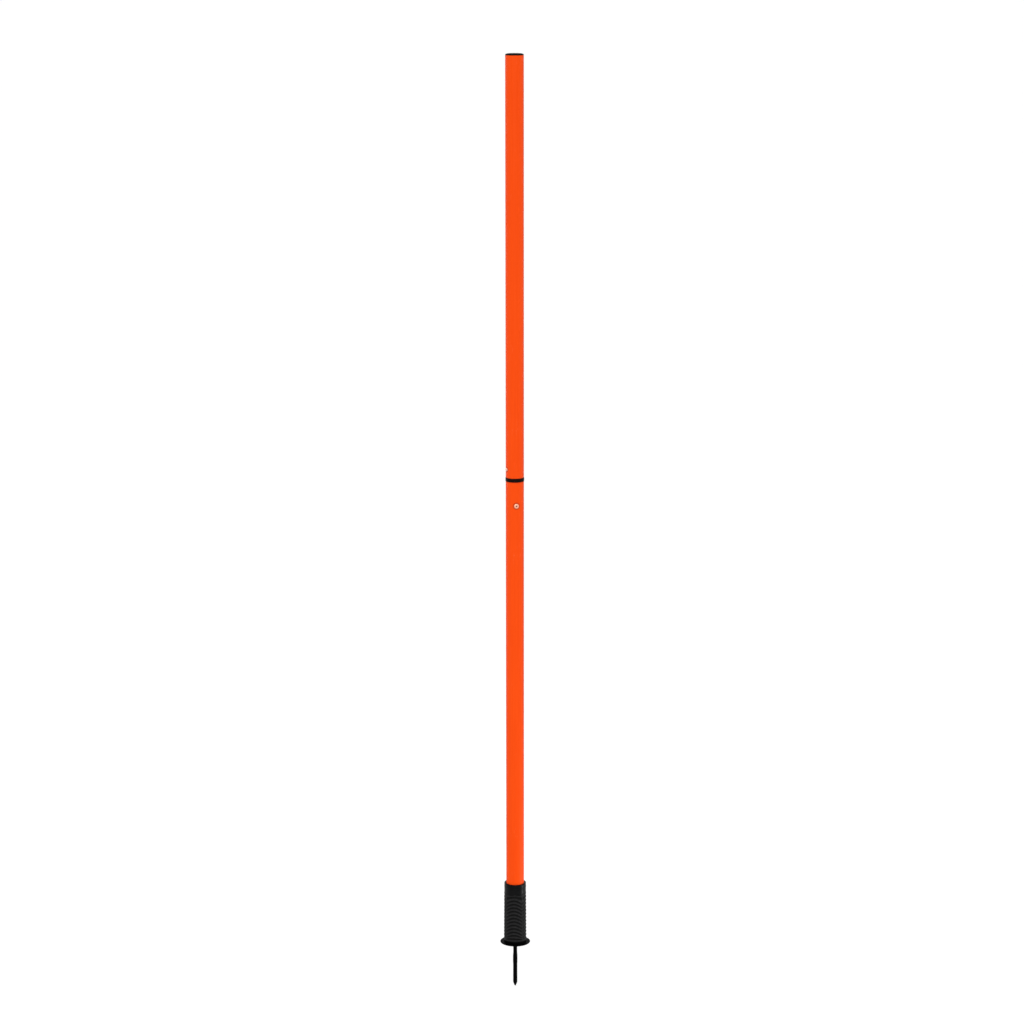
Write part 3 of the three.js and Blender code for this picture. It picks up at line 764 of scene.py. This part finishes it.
def coil(name, bottom, turns):
    """A stretch of the flex spring's wire, from the height of its first wire centre."""
    ring = [
        (SPRING_MEAN_RADIUS + WIRE_RADIUS * math.cos(a), 0, bottom + WIRE_RADIUS * math.sin(a))
        for a in [TURN * side / WIRE_SIDES for side in range(WIRE_SIDES + 1)]
    ]
    piece = chain(name, ring)
    bpy.ops.mesh.select_all(action="SELECT")
    bpy.ops.mesh.remove_doubles(threshold=MERGE_DISTANCE)
    bpy.ops.object.mode_set(mode="OBJECT")
    steps = round(turns * SPRING_STEPS)
    settings = {
        "axis": "Z",
        "angle": TURN * turns,
        "screw_offset": SPRING_PITCH * turns,
        "steps": steps,
        "render_steps": steps,
    }
    modified(piece, "SCREW", settings)
    bpy.ops.object.mode_set(mode="EDIT")
    closed_up()
    return piece


def flexing(lower, upper):
    """Bakes the placement of the two halves of a piece into their meshes."""
    lanes = SPLIT_HEIGHT - ARCH_DROP
    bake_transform(lower)
    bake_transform(upper)


def flex_spring():
    """The spring, in two stretches of one wire."""
    first = spring_low.z + WIRE_RADIUS
    meeting = first + SPRING_LOWER_TURNS * SPRING_PITCH
    last = spring_high.z - WIRE_RADIUS
    lower = coil("spring_lower", first, SPRING_LOWER_TURNS)
    upper = coil("spring_upper", meeting, (last - meeting) / SPRING_PITCH)
    made(lower, "spring_steel", None, "flex_spring")
    made(upper, "spring_steel", None, "flex_spring")
    flexing(lower, upper)


def rib_rows(first, last):
    """The ribs' profile from one groove or end to another, in pitches above the foot bead."""
    rows = []
    for sample in range(round(first * RIB_SAMPLES), round(last * RIB_SAMPLES) + 1):
        pitches = sample / RIB_SAMPLES
        depth = ((1 - math.cos(TURN * pitches)) / 2) ** RIB_POWER * GROOVE_DEPTH
        rows.append((RIB_RADIUS - depth, RIB_BOTTOM + pitches * RIB_PITCH))
    return rows


def bore_rows(high, low):
    """The smooth bore's profile from one height down to another."""
    count = round((high - low) / BORE_STEP)
    return [(SPRING_BORE, high + (low - high) * row / count) for row in range(count + 1)]


def arched(piece):
    """Lowers the ribs towards the lanes between the panels, fills their grooves there, and flares the foot.

    The marks that the rubber's finish reads are kept on the vertices.
    """
    panel = TURN / PANEL_COUNT
    start = math.radians(PANEL_TURN) - QUARTER
    mid_wall = (SPRING_BORE + RIB_RADIUS) / 2
    for name in ("crest", "polish"):
        piece.data.attributes.new(name, "FLOAT", "POINT")
    crests = piece.data.attributes["crest"].data
    polishes = piece.data.attributes["polish"].data
    for vertex, crest, polish in zip(piece.data.vertices, crests, polishes):
        radius = math.hypot(vertex.co.x, vertex.co.y)
        height = vertex.co.z
        polish.value = 1.0 if height > RIB_BOTTOM else BEAD_POLISH
        crest.value = 1.0
        if radius < mid_wall or not RIB_BOTTOM < height < RIB_TOP:
            continue
        turns = (math.atan2(vertex.co.y, vertex.co.x) - start) / panel
        across = (turns - round(turns)) * 2
        foot_fade = (height - RIB_BOTTOM) / (FOOT_FADE_RIBS * RIB_PITCH)
        cuff_fade = (RIB_TOP - height) / (CUFF_FADE_RIBS * RIB_PITCH)
        vertex.co.z -= ARCH_DROP * across ** 2 * min(1, foot_fade, cuff_fade)
        from_lane = (1 - abs(across)) * panel / 2 * radius / LANE_HALF_WIDTH
        on_lane = max(0, 1 - from_lane ** 2) ** 2
        depth = RIB_RADIUS - radius
        # The crest mark falls to 0 deep in a groove, where the rubber's finish paints shade.
        crest.value = 1 - depth / GROOVE_DEPTH * (1 - on_lane)
        polish.value = on_lane ** 0.5
        flare = RIB_FLARE * (RIB_TOP - height) / (RIB_TOP - RIB_BOTTOM)
        new_radius = radius + on_lane * (depth - LANE_SINK) + flare
        vertex.co.x *= new_radius / radius
        vertex.co.y *= new_radius / radius


def sleeve():
    """The rubber sleeve, in two halves that meet in the bottom of one groove."""
    bottom = sleeve_low.z
    top = sleeve_high.z
    bead = sleeve_high.x - BEAD_ROUND
    groove = RIB_RADIUS - GROOVE_DEPTH
    shoulder = plug_low.z + PLUG_STUB
    ring = top - CUFF_RING_DROP
    cuff_foot = (CUFF_RADIUS, RIB_TOP + RIB_PITCH / 3)
    lower_profile = [(SPRING_BORE, bottom)]
    lower_profile += arc(bead, bottom + BEAD_ROUND, BEAD_ROUND, -QUARTER, 0)
    lower_profile += arc(bead, RIB_BOTTOM - BEAD_ROUND, BEAD_ROUND, 0, QUARTER / 2, FEW_STEPS)
    lower_profile += rib_rows(1 / RIB_SAMPLES, SPLIT_RIB + 0.5)[:-1]
    lower_profile += [(groove, SPLIT_HEIGHT - SPLIT_FLAT), (groove, SPLIT_HEIGHT)]
    lower_profile += bore_rows(SPLIT_HEIGHT, bottom)
    upper_profile = [(groove, SPLIT_HEIGHT), (groove, SPLIT_HEIGHT + SPLIT_FLAT)]
    upper_profile += rib_rows(SPLIT_RIB + 0.5, RIB_COUNT)[1:]
    upper_profile += eased((RIB_RADIUS, RIB_TOP), cuff_foot)
    upper_profile += arc(CUFF_RADIUS, ring, CUFF_RING_SIZE, -QUARTER, QUARTER)
    upper_profile += arc(CUFF_RADIUS - CUFF_LIP, top - CUFF_LIP, CUFF_LIP, 0, QUARTER)
    lead_in = (SLEEVE_TUBE_BORE + CUFF_LEAD_IN, top - CUFF_LEAD_IN, CUFF_LEAD_IN)
    upper_profile += arc(*lead_in, QUARTER, 2 * QUARTER)
    upper_profile.append((SLEEVE_TUBE_BORE, shoulder))
    upper_profile += bore_rows(shoulder - (SLEEVE_TUBE_BORE - SPRING_BORE), SPLIT_HEIGHT)
    upper_profile.append(upper_profile[0])
    lower = turned("sleeve_lower", lower_profile, SLEEVE_STEPS)
    upper = turned("sleeve_upper", upper_profile, SLEEVE_STEPS)
    for half in (lower, upper):
        arched(half)
        made(half, "black_rubber", None, "grip_sleeve")
    flexing(lower, upper)


def plug():
    """The plug whose stub the spring's upper coils grip, pinned into the lower tube."""
    shoulder = plug_low.z + PLUG_STUB
    shoulder_radius = TUBE_RADIUS - CLEARANCE
    profile = [
        (PLUG_BORE, plug_low.z),
        (STUB_RADIUS - PLUG_CHAMFER, plug_low.z),
        (STUB_RADIUS, plug_low.z + PLUG_CHAMFER),
        (STUB_RADIUS, shoulder),
        (shoulder_radius, shoulder),
        (shoulder_radius, shoulder + PLUG_SHOULDER),
        (INSERT_RADIUS, shoulder + PLUG_SHOULDER),
        (INSERT_RADIUS, plug_high.z - PLUG_CHAMFER),
        (INSERT_RADIUS - PLUG_CHAMFER, plug_high.z),
        (PLUG_BORE, plug_high.z),
        (PLUG_BORE, plug_low.z),
    ]
    piece = edged(turned("plug", profile, BROAD_STEPS), PLUG_EDGE)
    drilled(piece, PIN_RADIUS + CLEARANCE, -DRILL_REACH, DRILL_REACH, PIN_HEIGHT, 0)
    return made(piece, "zinc_steel", "pole", "tube_plug")


def cross_pin():
    """The rolled spring pin: a wall of spring steel with a slot along it."""
    low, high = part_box("plug_pin")
    inner = PIN_RADIUS - PIN_WALL
    half = (high.y - low.y) / 2
    profile = [
        (inner, -half),
        (PIN_RADIUS - PIN_EDGE, -half),
        (PIN_RADIUS, PIN_EDGE - half),
        (PIN_RADIUS, half - PIN_EDGE),
        (PIN_RADIUS - PIN_EDGE, half),
        (inner, half),
        (inner, -half),
    ]
    slot_angle = 2 * math.asin(PIN_SLOT / 2 / PIN_RADIUS)
    piece = turned("plug_cross_pin", profile, SMALL_STEPS, TURN - slot_angle)
    placed(piece, Matrix.Translation((0, 0, PIN_HEIGHT)) @ Matrix.Rotation(QUARTER, 4, "X"))
    return made(piece, "spring_steel", "pole", "plug_pin")


# Pole
def tube(name, low, high, holes):
    """A length of the pole's tube, with rings of edges above and below each hole."""
    heights = [low, low + TUBE_WALL]
    for radius, height in holes:
        heights += [height - radius - HOLE_MARGIN, height + radius + HOLE_MARGIN]
    heights += [high - TUBE_WALL, high]
    outside = [(TUBE_RADIUS, height) for height in sorted(heights)]
    inside = [(TUBE_BORE, height) for height in sorted(heights, reverse=True)]
    return edged(turned(name, outside + inside + outside[:1], BROAD_STEPS), TUBE_EDGE)


def lower_tube():
    """The lower tube, with the rivet's hole and the cross pin's two holes."""
    pin_hole = PIN_RADIUS + CLEARANCE
    rivet_hole = RIVET_SHANK + CLEARANCE
    holes = [(pin_hole, PIN_HEIGHT), (rivet_hole, RIVET_HEIGHT)]
    piece = tube("pole_lower_tube", tube_low.z, tube_high.z, holes)
    drilled(piece, pin_hole, -DRILL_REACH, DRILL_REACH, PIN_HEIGHT, 0)
    drilled(piece, rivet_hole, 0, DRILL_REACH, RIVET_HEIGHT, RIVET_AZIMUTH)
    return made(piece, "orange_plastic", "pole", "lower_tube")


def upper_tube():
    """The upper tube, with the button's hole."""
    hole = BUTTON_RADIUS + CLEARANCE
    piece = tube("pole_upper_tube", upper_low.z, upper_high.z, [(hole, BUTTON_HEIGHT)])
    drilled(piece, hole, 0, DRILL_REACH, BUTTON_HEIGHT, BUTTON_AZIMUTH)
    return made(piece, "orange_plastic", "pole", "upper_tube")


def coupler():
    """The coupler inside both tubes, with holes for the rivet and the button."""
    low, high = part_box("coupler_tube")
    profile = [
        (COUPLER_BORE, low.z),
        (INSERT_RADIUS - COUPLER_CHAMFER, low.z),
        (INSERT_RADIUS, low.z + COUPLER_CHAMFER),
        (INSERT_RADIUS, high.z - COUPLER_CHAMFER),
        (INSERT_RADIUS - COUPLER_CHAMFER, high.z),
        (COUPLER_BORE, high.z),
        (COUPLER_BORE, low.z),
    ]
    piece = edged(turned("joint_coupler", profile, BROAD_STEPS), TUBE_EDGE)
    drilled(piece, RIVET_SHANK + CLEARANCE, 0, DRILL_REACH, RIVET_HEIGHT, RIVET_AZIMUTH)
    drilled(piece, BUTTON_RADIUS + CLEARANCE, 0, DRILL_REACH, BUTTON_HEIGHT, BUTTON_AZIMUTH)
    return made(piece, "grey_nylon", "pole", "coupler_tube")


def collar():
    """The collar between the tubes, with two rounded edges."""
    inner = INSERT_RADIUS + CLEARANCE
    outer = collar_high.x - COLLAR_ROUND
    profile = [(inner, collar_low.z)]
    profile += arc(outer, collar_low.z + COLLAR_ROUND, COLLAR_ROUND, -QUARTER, 0)
    profile += arc(outer, collar_high.z - COLLAR_ROUND, COLLAR_ROUND, 0, QUARTER)
    profile += [(inner, collar_high.z), (inner, collar_low.z)]
    return made(turned("joint_collar", profile, BROAD_STEPS), "black_plastic", "pole", "coupler_collar")


def rivet():
    """The blind rivet: a low domed head outside, a bulb set behind the coupler's wall inside."""
    low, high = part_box("coupler_rivet")
    head_radius = (high.z - low.z) / 2
    tail, crown = reach("coupler_rivet", RIVET_AZIMUTH)
    seat = crown - RIVET_HEAD
    bulb_inner = tail + RIVET_TAIL
    bulb_outer = bulb_inner + RIVET_BULB_LENGTH
    swell = RIVET_BULB_LENGTH / 3
    flat = RIVET_SHANK - RIVET_RIM / 2
    edge = RIVET_RIM / 4
    dome = (head_radius - flat, RIVET_HEAD - RIVET_RIM)
    profile = [(RIVET_BORE, tail), (RIVET_SHANK, tail), (RIVET_SHANK, bulb_inner)]
    profile += eased((RIVET_SHANK, bulb_inner), (RIVET_BULB, bulb_inner + swell))
    profile += [(RIVET_BULB, bulb_outer - swell)]
    profile += eased((RIVET_BULB, bulb_outer - swell), (RIVET_SHANK, bulb_outer))
    profile += [(RIVET_SHANK, seat), (head_radius - edge, seat), (head_radius, seat + edge)]
    profile += oval(flat, seat + RIVET_RIM, *dome, 0, QUARTER, DOME_STEPS)
    mouth = (RIVET_BORE + RIVET_MOUTH, crown - RIVET_MOUTH, RIVET_MOUTH)
    profile += arc(*mouth, QUARTER, 2 * QUARTER, FEW_STEPS)
    profile.append((RIVET_BORE, tail))
    piece = turned("joint_rivet", profile, SMALL_STEPS)
    pointed_out(piece, RIVET_HEIGHT, RIVET_AZIMUTH)
    return made(piece, "rivet_aluminium", "pole", "coupler_rivet")


def mandrel():
    """What stays of the rivet's pin: its head behind the tail and a broken end in the recess."""
    tail, end = reach("rivet_mandrel", RIVET_AZIMUTH)
    seat = reach("coupler_rivet", RIVET_AZIMUTH)[0] - SEAT_GAP
    profile = [(0, tail)]
    profile += eased((MANDREL_HEAD / 2, tail), (MANDREL_HEAD, (tail + seat) / 2))
    profile += [
        (MANDREL_HEAD, seat),
        (MANDREL_STEM, seat),
        (MANDREL_STEM, end - MANDREL_BREAK),
        (MANDREL_NECK, end - MANDREL_BREAK / 3),
        (MANDREL_SLIVER, end),
        (0, end - MANDREL_BREAK / 2),
    ]
    piece = turned("joint_rivet_mandrel", profile, SMALL_STEPS)
    pointed_out(piece, RIVET_HEIGHT, RIVET_AZIMUTH)
    return made(piece, "zinc_steel", "pole", "rivet_mandrel")


def button():
    """The snap button: a domed pin on a flange that the leaf spring pushes outwards."""
    back, crown = reach("snap_button", BUTTON_AZIMUTH)
    face = back + BUTTON_FLANGE_THICKNESS
    profile = [(0, back), (BUTTON_FLANGE, back), (BUTTON_FLANGE, face), (BUTTON_RADIUS, face)]
    profile += oval(0, crown - BUTTON_DOME, BUTTON_RADIUS, BUTTON_DOME, 0, QUARTER, DOME_STEPS)
    piece = turned("button", profile, SMALL_STEPS)
    pointed_out(piece, BUTTON_HEIGHT, BUTTON_AZIMUTH)
    return made(piece, "button_nickel", "button", "snap_button")


def leaf():
    """The bent leaf spring: one leg behind the button, the other against the far wall."""
    low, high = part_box("button_spring")
    far_face, near_face = reach("button_spring", BUTTON_AZIMUTH)
    centre = (near_face + far_face) / 2
    bend = (near_face - far_face) / 2
    side = -LEAF_WIDTH / 2
    line = [(centre + bend, side, high.z)]
    line += [
        (radius, side, height)
        for radius, height in arc(centre, low.z + bend, bend, 0, -2 * QUARTER, 2 * DOME_STEPS)
    ]
    line.append((centre - bend, side, high.z))
    piece = chain("button_leaf", line)
    bpy.ops.mesh.select_all(action="SELECT")
    bpy.ops.mesh.extrude_edges_move(TRANSFORM_OT_translate={"value": (0, LEAF_WIDTH, 0)})
    bpy.ops.mesh.select_all(action="SELECT")
    bpy.ops.mesh.normals_make_consistent(inside=False)
    bpy.ops.object.mode_set(mode="OBJECT")
    modified(piece, "SOLIDIFY", {"thickness": LEAF_THICKNESS, "offset": -1})
    edged(piece, LEAF_EDGE, 2)
    placed(piece, outward(BUTTON_AZIMUTH))
    made(piece, "spring_steel", None, "button_spring")
    far_leg = spot(BUTTON_AZIMUTH, far_face + LEAF_THICKNESS, 0)
    near_leg = spot(BUTTON_AZIMUTH, near_face - LEAF_THICKNESS, 0)
    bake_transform(piece)


def cap():
    """The top cap: a crown with a rounded shoulder, and a barbed skirt inside the tube."""
    skirt_inner = INSERT_RADIUS - CAP_SKIRT_WALL
    seat = upper_high.z + SEAT_GAP
    barb_start = cap_low.z + (seat - cap_low.z) * CAP_BARB_SHARE
    corner = (TUBE_RADIUS - CAP_CORNER_WIDTH, cap_high.z - CAP_CORNER_HEIGHT)
    profile = [
        (0, seat),
        (skirt_inner, seat),
        (skirt_inner, cap_low.z),
        (INSERT_RADIUS - CAP_SKIRT_CHAMFER, cap_low.z),
        (INSERT_RADIUS, cap_low.z + CAP_SKIRT_CHAMFER),
    ]
    for barb in range(CAP_BARBS):
        start = barb_start + barb * CAP_BARB_HEIGHT * 2
        profile += [
            (INSERT_RADIUS, start),
            (INSERT_RADIUS + CAP_BARB_PROUD, start + CAP_BARB_HEIGHT),
            (INSERT_RADIUS, start + CAP_BARB_HEIGHT),
        ]
    profile += [(INSERT_RADIUS, seat), (TUBE_RADIUS - TUBE_EDGE, seat), (TUBE_RADIUS, seat + TUBE_EDGE)]
    profile += oval(*corner, CAP_CORNER_WIDTH, CAP_CORNER_HEIGHT, 0, QUARTER, DOME_STEPS)
    profile.append((CAP_GATE_RADIUS, cap_high.z))
    profile += eased((CAP_GATE_RADIUS, cap_high.z), (CAP_GATE_RADIUS / 2, cap_high.z - CAP_GATE_DEPTH))
    profile.append((0, cap_high.z - CAP_GATE_DEPTH))
    return made(turned("end_cap", profile, BROAD_STEPS), "black_plastic", "pole", "top_cap")


spike()
plate()
hub()
washer()
nut()
flex_spring()
sleeve()
plug()
cross_pin()
lower_tube()
coupler()
collar()
rivet()
mandrel()
leaf()
button()
upper_tube()
cap()

# Camera, at the photograph's angle
CAMERA_PLACE = (-0.005, -4.858, 1.841)
CAMERA_PITCH = 12.12
CAMERA_ROLL = -0.06
CAMERA_LENS = 99.4
CAMERA_SENSOR = 36
CAMERA_REACH = 200


def stood(data, place, turn):
    """Stands a camera or a lamp in the scene."""
    obj = bpy.data.objects.new(data.name, data)
    obj.location = place
    obj.rotation_euler = turn.to_euler()
    bpy.context.scene.collection.objects.link(obj)
    return obj


def camera():
    """A long lens, looking a little down at the pole from the front."""
    data = bpy.data.cameras.new("camera")
    data.lens = CAMERA_LENS
    data.sensor_width = CAMERA_SENSOR
    data.clip_end = CAMERA_REACH
    pitch = Matrix.Rotation(QUARTER - math.radians(CAMERA_PITCH), 4, "X")
    roll = Matrix.Rotation(math.radians(CAMERA_ROLL), 4, "Z")
    bpy.context.scene.camera = stood(data, CAMERA_PLACE, pitch @ roll)


# Light
WHITE = (1, 1, 1, 1)
WORLD_LEVEL = 0.5
KEY_LEVEL = 1.48
KEY_SPREAD = 25
KEY_AZIMUTH = -1
KEY_ELEVATION = 24
LAMPS = {
    "right_strip": {
        "azimuth": 86, "distance": 2.2, "height": 0.9, "width": 0.14, "length": 2.4, "power": 9.5,
    },
    "left_strip": {
        "azimuth": -127, "distance": 2.2, "height": 0.9, "width": 0.10, "length": 2.4, "power": 6,
    },
    "left_panel": {
        "azimuth": -72, "distance": 2.2, "height": 0.9, "width": 0.80, "length": 2.4, "power": 7,
    },
    "low_kicker": {
        "azimuth": 83, "distance": 0.42, "height": -0.03, "width": 0.08, "length": 0.10, "power": 0.46,
    },
}


def key_light():
    """A broad soft light from in front, near the camera, so the pole hides its own shadow."""
    data = bpy.data.lights.new("key", "SUN")
    data.energy = KEY_LEVEL
    data.angle = math.radians(KEY_SPREAD)
    rise = math.radians(KEY_ELEVATION)
    towards = spot(KEY_AZIMUTH, math.cos(rise), math.sin(rise))
    stood(data, (0, 0, 0), (-towards).to_track_quat("-Z", "Y"))


def lamp(name, azimuth, distance, height, width, length, power):
    """An upright lamp that faces the pole and draws a line of light down it."""
    data = bpy.data.lights.new(name, "AREA")
    data.shape = "RECTANGLE"
    data.size = width
    data.size_y = length
    data.energy = power
    inward = spot(azimuth, -1, 0)
    obj = stood(data, spot(azimuth, distance, height), inward.to_track_quat("-Z", "Y"))
    obj.visible_camera = False


def background_rays(nodes):
    """1 for rays that come from the camera, a mirror or glass, and 0 for the rest."""
    seen, mirrored, through = [
        nodes.node("ShaderNodeLightPath", {}, {}, ray)
        for ray in ("Is Camera Ray", "Is Glossy Ray", "Is Transmission Ray")
    ]
    either = seen.worked("MAXIMUM", seen, mirrored)
    return seen.worked("MAXIMUM", either, through)


def world():
    """White where it is seen or mirrored, and a plain even grey as a light."""
    backdrop = Nodes(bpy.data.worlds.new("studio"), "Background")
    sockets = {"Value": background_rays(backdrop), "To Min": WORLD_LEVEL, "To Max": 1.0}
    level = backdrop.node("ShaderNodeMapRange", {}, sockets)
    backdrop.fill(backdrop.shader, {"Color": WHITE, "Strength": level})
    bpy.context.scene.world = backdrop.owner


# Floor
FLOOR_SIZE = 160
FLOOR_SHADE = 0.82
FLOOR_LIFT = 0.44


def floor():
    """A broad pale floor at the spike's tip, lifted to white where it is seen, under its shadows."""
    bpy.ops.object.select_all(action="DESELECT")
    bpy.ops.mesh.primitive_plane_add(size=FLOOR_SIZE, location=(0, 0, spike_low.z))
    ground = bpy.context.object
    ground.name = "floor"
    bpy.ops.object.transform_apply(location=True, rotation=True, scale=True)
    pale = Nodes(bpy.data.materials.new("pale_floor"), "Principled BSDF")
    pale.fill(pale.shader, {
        "Base Color": (FLOOR_SHADE, FLOOR_SHADE, FLOOR_SHADE, 1),
        "Roughness": 1.0,
        "Specular IOR Level": 0.0,
        "Emission Color": WHITE,
        "Emission Strength": background_rays(pale) * FLOOR_LIFT,
    })
    ground.data.materials.append(pale.owner)


camera()
key_light()
for lamp_name, lamp_settings in LAMPS.items():
    lamp(lamp_name, **lamp_settings)
world()
floor()
bpy.context.scene.view_settings.view_transform = "Standard"
